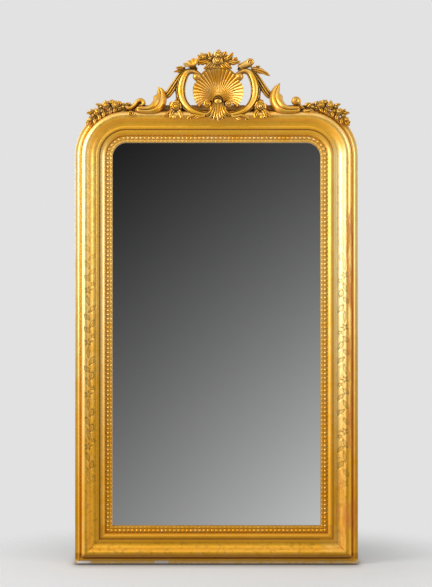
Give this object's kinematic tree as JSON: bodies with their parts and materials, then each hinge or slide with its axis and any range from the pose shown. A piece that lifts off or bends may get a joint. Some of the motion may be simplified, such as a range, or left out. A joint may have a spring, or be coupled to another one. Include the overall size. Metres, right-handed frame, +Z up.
{
  "type": "wall mirror",
  "caption": "Tall gilt wall mirror: stepped, engraved moulding with rounded top corners and a pearl border, under a pierced crest with a fluted shell, scrolls and flowers.",
  "frame": {"origin": "middle of the bottom edge, in the plane of the back", "axes": "+X along the width, to the viewer's right; +Z up; the glass faces -Y"},
  "size_m": [0.9, 0.0996, 1.636],
  "materials": {
    "gilt_moulding": "gold leaf over red bole on gessoed pine",
    "gilt_carving": "gold leaf over red bole on carved wood",
    "gilt_composition": "gold leaf on pressed composition",
    "silvered_glass": "polished plate, silvered behind",
    "pine": "bare aged pine",
    "old_board": "rough sawn aged boards",
    "iron": "dark forged iron"
  },
  "bodies": {
    "mirror": {"acanthus_left": "gilt_carving", "acanthus_right": "gilt_carving", "back_board_1": "old_board", "back_board_2": "old_board", "back_board_3": "old_board", "back_board_4": "old_board", "back_board_5": "old_board", "back_board_6": "old_board", "back_board_nails": "iron", "beads_bottom": "gilt_composition", "beads_corner_left": "gilt_composition", "beads_corner_right": "gilt_composition", "beads_left": "gilt_composition", "beads_right": "gilt_composition", "beads_top": "gilt_composition", "bud_left": "gilt_carving", "bud_right": "gilt_carving", "c_scroll_left": "gilt_carving", "c_scroll_right": "gilt_carving", "carcass_bottom_rail": "pine", "carcass_left_stile": "pine", "carcass_right_stile": "pine", "carcass_top_rail": "pine", "crest_screws": "iron", "crest_upright": "pine", "flower_left": "gilt_carving", "flower_right": "gilt_carving", "garland_left": "gilt_composition", "garland_right": "gilt_composition", "glass_blocks": "pine", "hanger_screws": "iron", "hanger_strap_left": "iron", "hanger_strap_right": "iron", "mirror_plate": "silvered_glass", "moulding_bottom": "gilt_moulding", "moulding_corner_left": "gilt_moulding", "moulding_corner_right": "gilt_moulding", "moulding_left": "gilt_moulding", "moulding_right": "gilt_moulding", "moulding_top": "gilt_moulding", "palmette": "gilt_carving", "root_curl_left": "gilt_carving", "root_curl_right": "gilt_carving", "shell": "gilt_carving", "shoulder_leaf_left": "gilt_carving", "shoulder_leaf_right": "gilt_carving", "strap_left": "gilt_carving", "strap_right": "gilt_carving", "tendril_left": "gilt_carving", "tendril_right": "gilt_carving", "top_spray": "gilt_carving"},
    "ring_left": {"hanger_ring_left": "iron"},
    "ring_right": {"hanger_ring_right": "iron"}
  },
  "joints": [
    {"name": "left_ring_swing", "type": "hinge", "parent": "mirror", "child": "ring_left", "pos_m": [-0.394, 0.0044, 1.19], "axis": [1, 0, 0], "range_deg": [0, 175]},
    {"name": "right_ring_swing", "type": "hinge", "parent": "mirror", "child": "ring_right", "pos_m": [0.394, 0.0044, 1.19], "axis": [1, 0, 0], "range_deg": [0, 175]}
  ]
}
